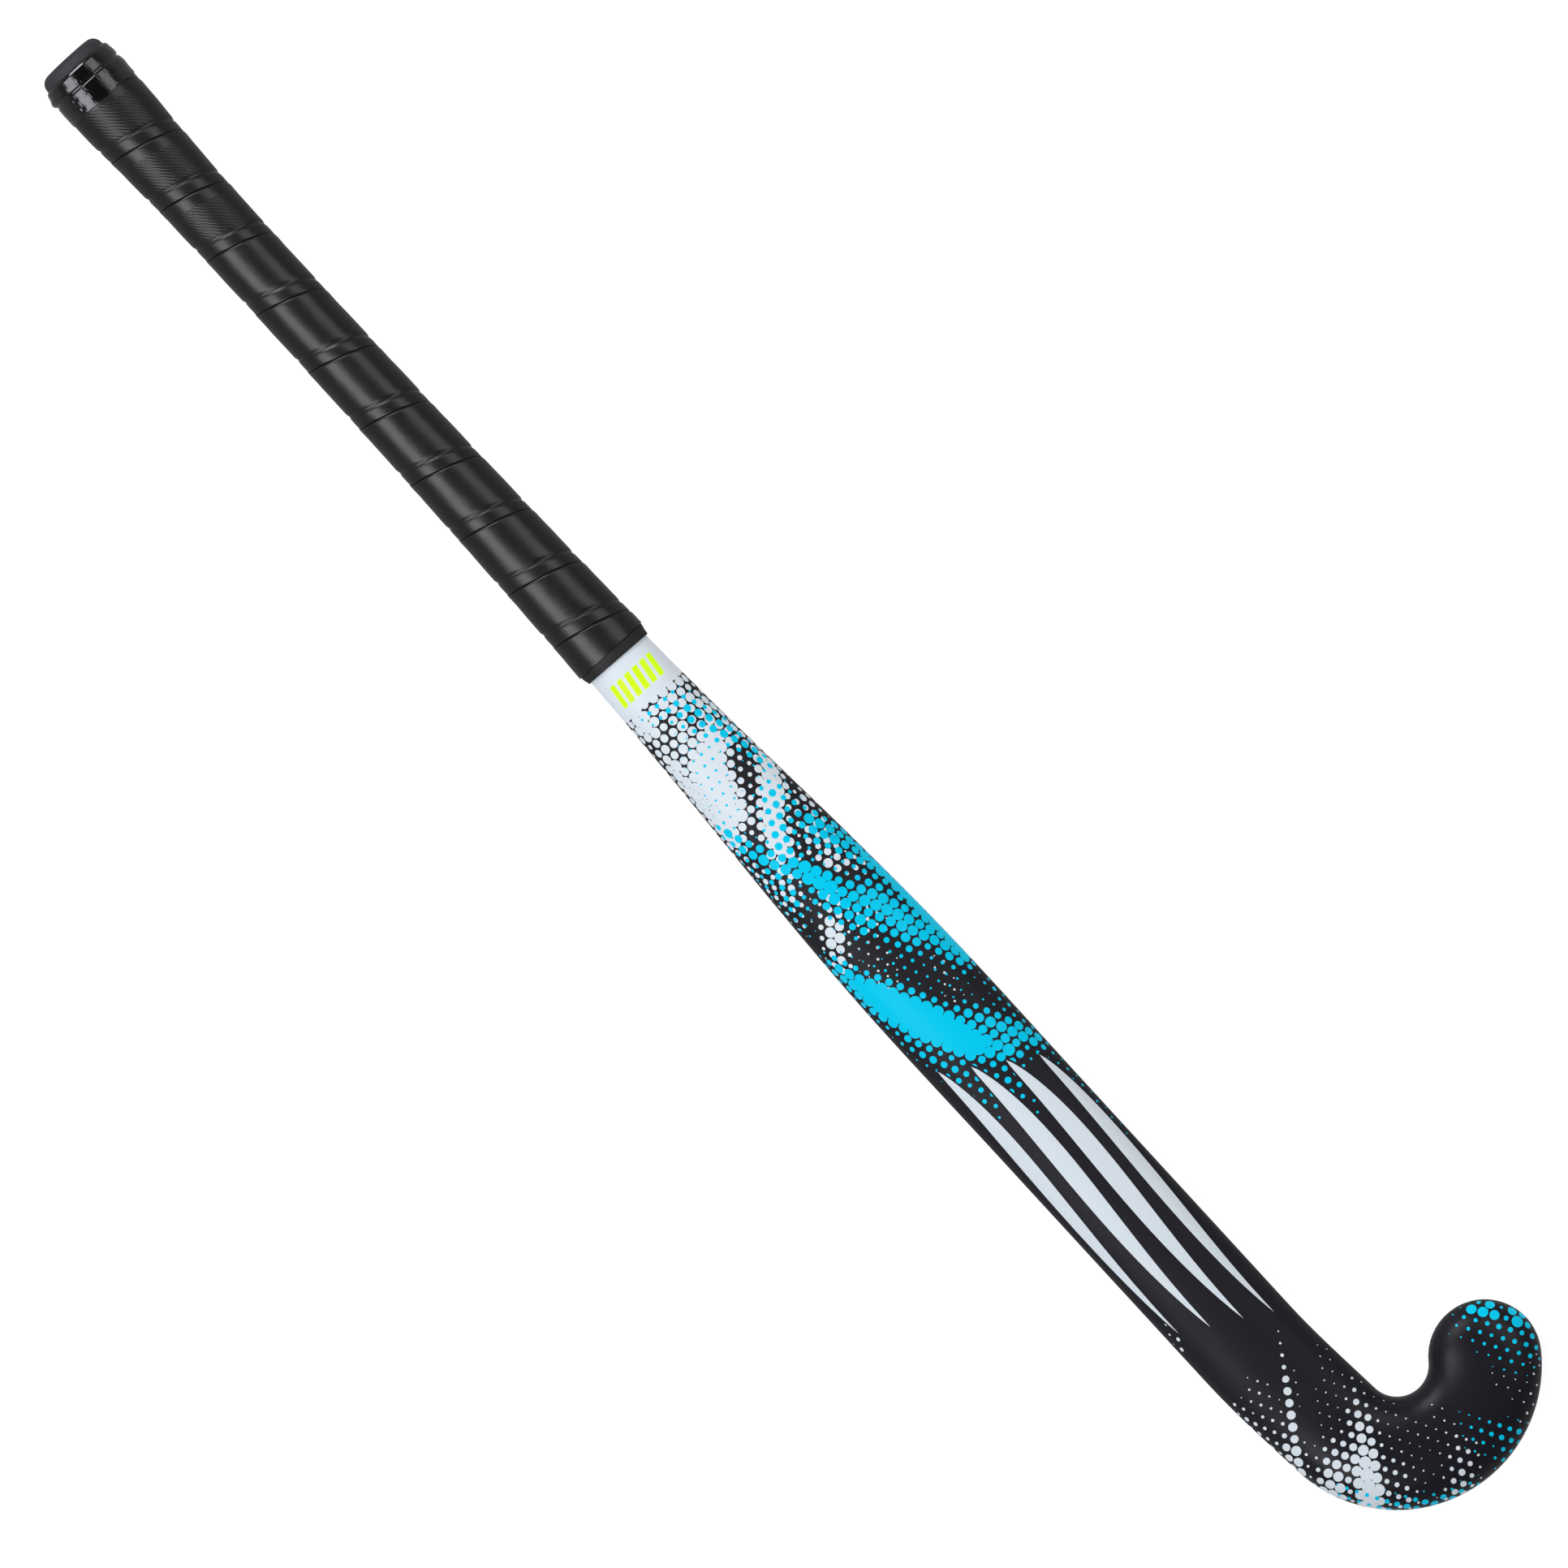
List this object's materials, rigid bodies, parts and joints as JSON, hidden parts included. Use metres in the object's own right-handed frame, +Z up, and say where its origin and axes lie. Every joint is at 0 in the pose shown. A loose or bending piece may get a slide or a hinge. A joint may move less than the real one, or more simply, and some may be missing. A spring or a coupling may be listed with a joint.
{
  "type": "field hockey stick",
  "caption": "Junior field hockey stick with a bowed composite shaft, hooked flat-faced head and wound cushion grip.",
  "frame": {"origin": "on the ground, under the middle of the stick's box as it lies on its flat playing face", "axes": "+X from the butt to the head, +Y towards the side that the toe points to, +Z up, away from the flat playing face"},
  "size_m": [0.8634, 0.1206, 0.0456],
  "materials": {
    "painted_laminate": "satin black lacquer over fibreglass, with printed white and cyan dots on the shaft and head",
    "bare_laminate": "uncoated fibreglass laminate",
    "foam": "rigid foam",
    "aramid": "resin-bound aramid weave",
    "plug_plastic": "moulded plastic",
    "cap_rubber": "dull black moulded rubber",
    "cushion": "adhesive foam cushion",
    "grip_cover": "satin cushioned polyurethane, ribbed on the first turns",
    "glossy_tape": "glossy stretched vinyl",
    "dull_tape": "dull stretched tape"
  },
  "bodies": {
    "root": {"outer_skin": "painted_laminate", "toe_side_tube": "bare_laminate", "heel_side_tube": "bare_laminate", "toe_side_foam_core": "foam", "heel_side_foam_core": "foam", "head_core": "foam", "face_plate": "bare_laminate", "edge_reinforcement": "aramid", "end_plug": "plug_plastic", "end_cap": "cap_rubber", "grip_underlay": "cushion", "grip_strip": "grip_cover", "top_finishing_tape": "glossy_tape", "lower_finishing_tape": "dull_tape"}
  },
  "joints": []
}
